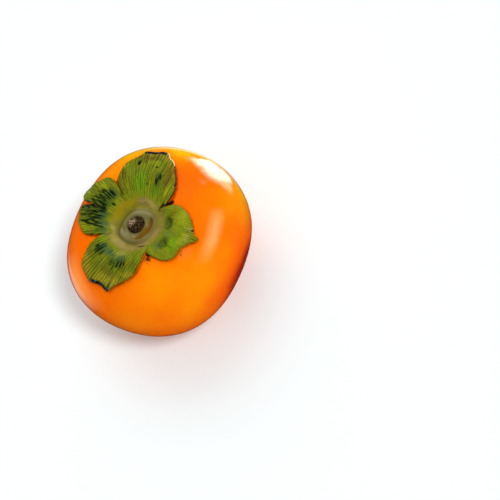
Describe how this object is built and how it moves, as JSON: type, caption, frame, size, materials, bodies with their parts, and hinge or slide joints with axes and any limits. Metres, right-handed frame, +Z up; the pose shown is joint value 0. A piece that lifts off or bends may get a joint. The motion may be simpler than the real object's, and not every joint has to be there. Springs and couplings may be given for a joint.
{
  "type": "persimmon",
  "caption": "Whole flat-type persimmon with its lobed green calyx and a short woody stem stub, standing on a small flat spot at the blossom end.",
  "frame": {"origin": "centre of the bounding box in plan, at the level of the flat foot that the fruit rests on", "axes": "+Z up along the fruit's core, from the blossom end to the stem; the pointed calyx lobe is towards -Y and a little +X"},
  "size_m": [0.08, 0.076, 0.0565],
  "materials": {
    "skin": "waxy, glossy orange fruit skin",
    "calyx": "satin, leathery green leaf tissue with fine radial veins",
    "stem": "rough, dry, cracked bark brown",
    "dried_style": "matte, dried blackish brown"
  },
  "bodies": {
    "root": {"fruit": "skin", "calyx": "calyx", "stem": "stem", "style_tip": "dried_style"}
  },
  "joints": []
}
